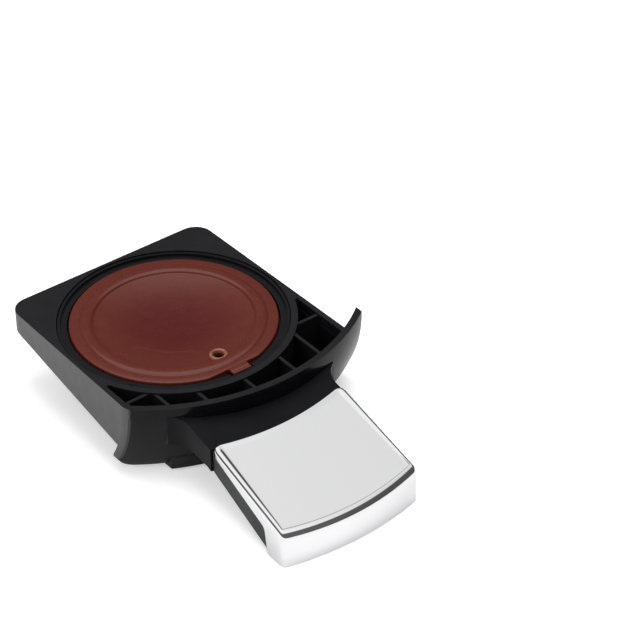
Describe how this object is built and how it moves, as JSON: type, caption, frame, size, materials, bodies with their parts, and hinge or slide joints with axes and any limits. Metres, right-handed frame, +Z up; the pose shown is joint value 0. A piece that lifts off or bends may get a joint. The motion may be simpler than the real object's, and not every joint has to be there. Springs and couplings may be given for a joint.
{
  "type": "pod drawer with refillable pod",
  "caption": "Pod drawer of a pod coffee machine: frame with curved front panel, plated handle, and a seated refillable pod with a hinged lid.",
  "frame": {"origin": "pod axis at the plane the drawer stands on (foot of the cradle)", "axes": "+Z up along the pod axis, -Y towards the handle, +X to the right seen from the handle"},
  "size_m": [0.071, 0.1074, 0.0239],
  "materials": {
    "black_moulding": "satin black moulded plastic",
    "black_insert": "deep black moulded plastic, finer satin",
    "plated_cover": "bright chrome plating on plastic",
    "pod_plastic": "red-brown gloss plastic",
    "pod_steel": "fine perforated steel",
    "screw_steel": "zinc plated screw",
    "seal_rubber": "translucent silicone"
  },
  "bodies": {
    "drawer": {"drawer_frame": "black_moulding", "pod_cradle": "black_insert", "handle_cover": "plated_cover", "handle_body": "black_moulding", "cover_screws": "screw_steel", "root_screws": "screw_steel"},
    "pod": {"pod_cup": "pod_plastic", "filter_mesh": "pod_steel", "mesh_ring": "pod_plastic"},
    "lid": {"pod_lid": "pod_plastic", "lid_seal": "seal_rubber", "shower_screen": "pod_plastic", "hinge_strap": "pod_plastic"}
  },
  "joints": [
    {"name": "pod_lift", "type": "slide", "parent": "drawer", "child": "pod", "axis": [0, 0, 1], "range_m": [0, 0.03]},
    {"name": "lid_hinge", "type": "hinge", "parent": "pod", "child": "lid", "pos_m": [0.0012, -0.0276, 0.0228], "axis": [1, 0, 0], "range_deg": [0, 115]}
  ]
}
